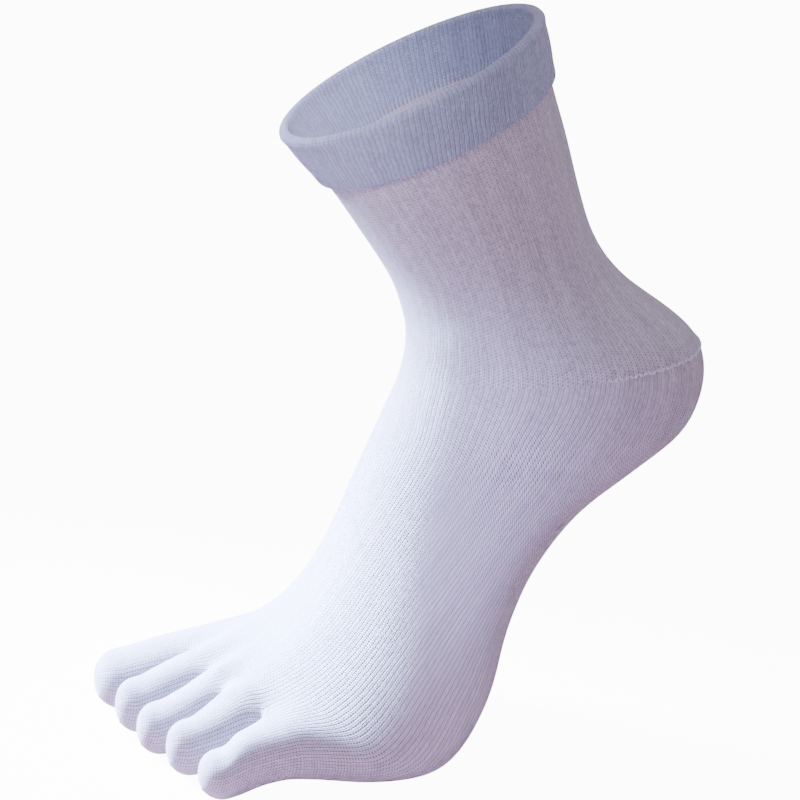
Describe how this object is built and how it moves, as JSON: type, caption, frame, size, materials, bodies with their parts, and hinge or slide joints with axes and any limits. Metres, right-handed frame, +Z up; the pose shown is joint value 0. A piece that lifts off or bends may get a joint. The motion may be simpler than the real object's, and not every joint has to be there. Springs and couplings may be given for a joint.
{
  "type": "toe sock",
  "caption": "Knitted sock for a left foot with a separate pocket for each toe, filled out as worn on tiptoe, with an open turned cuff and a hollow inside.",
  "frame": {"origin": "centre of the leg opening, level with the cuff's folded rim, where the wearer's leg holds the sock up", "axes": "+Z up, +X from the toes towards the heel, +Y towards the big-toe (inner) side, so the picture looks along +Y at the outer side"},
  "size_m": [0.2028, 0.1002, 0.2512],
  "materials": {
    "cuff_knit": "matte ribbed knit",
    "knit": "matte fine knit"
  },
  "bodies": {
    "root": {"cuff": "cuff_knit", "leg": "knit", "heel": "knit", "foot": "knit", "toe_big": "knit", "toe_second": "knit", "toe_middle": "knit", "toe_fourth": "knit", "toe_little": "knit"}
  },
  "joints": []
}
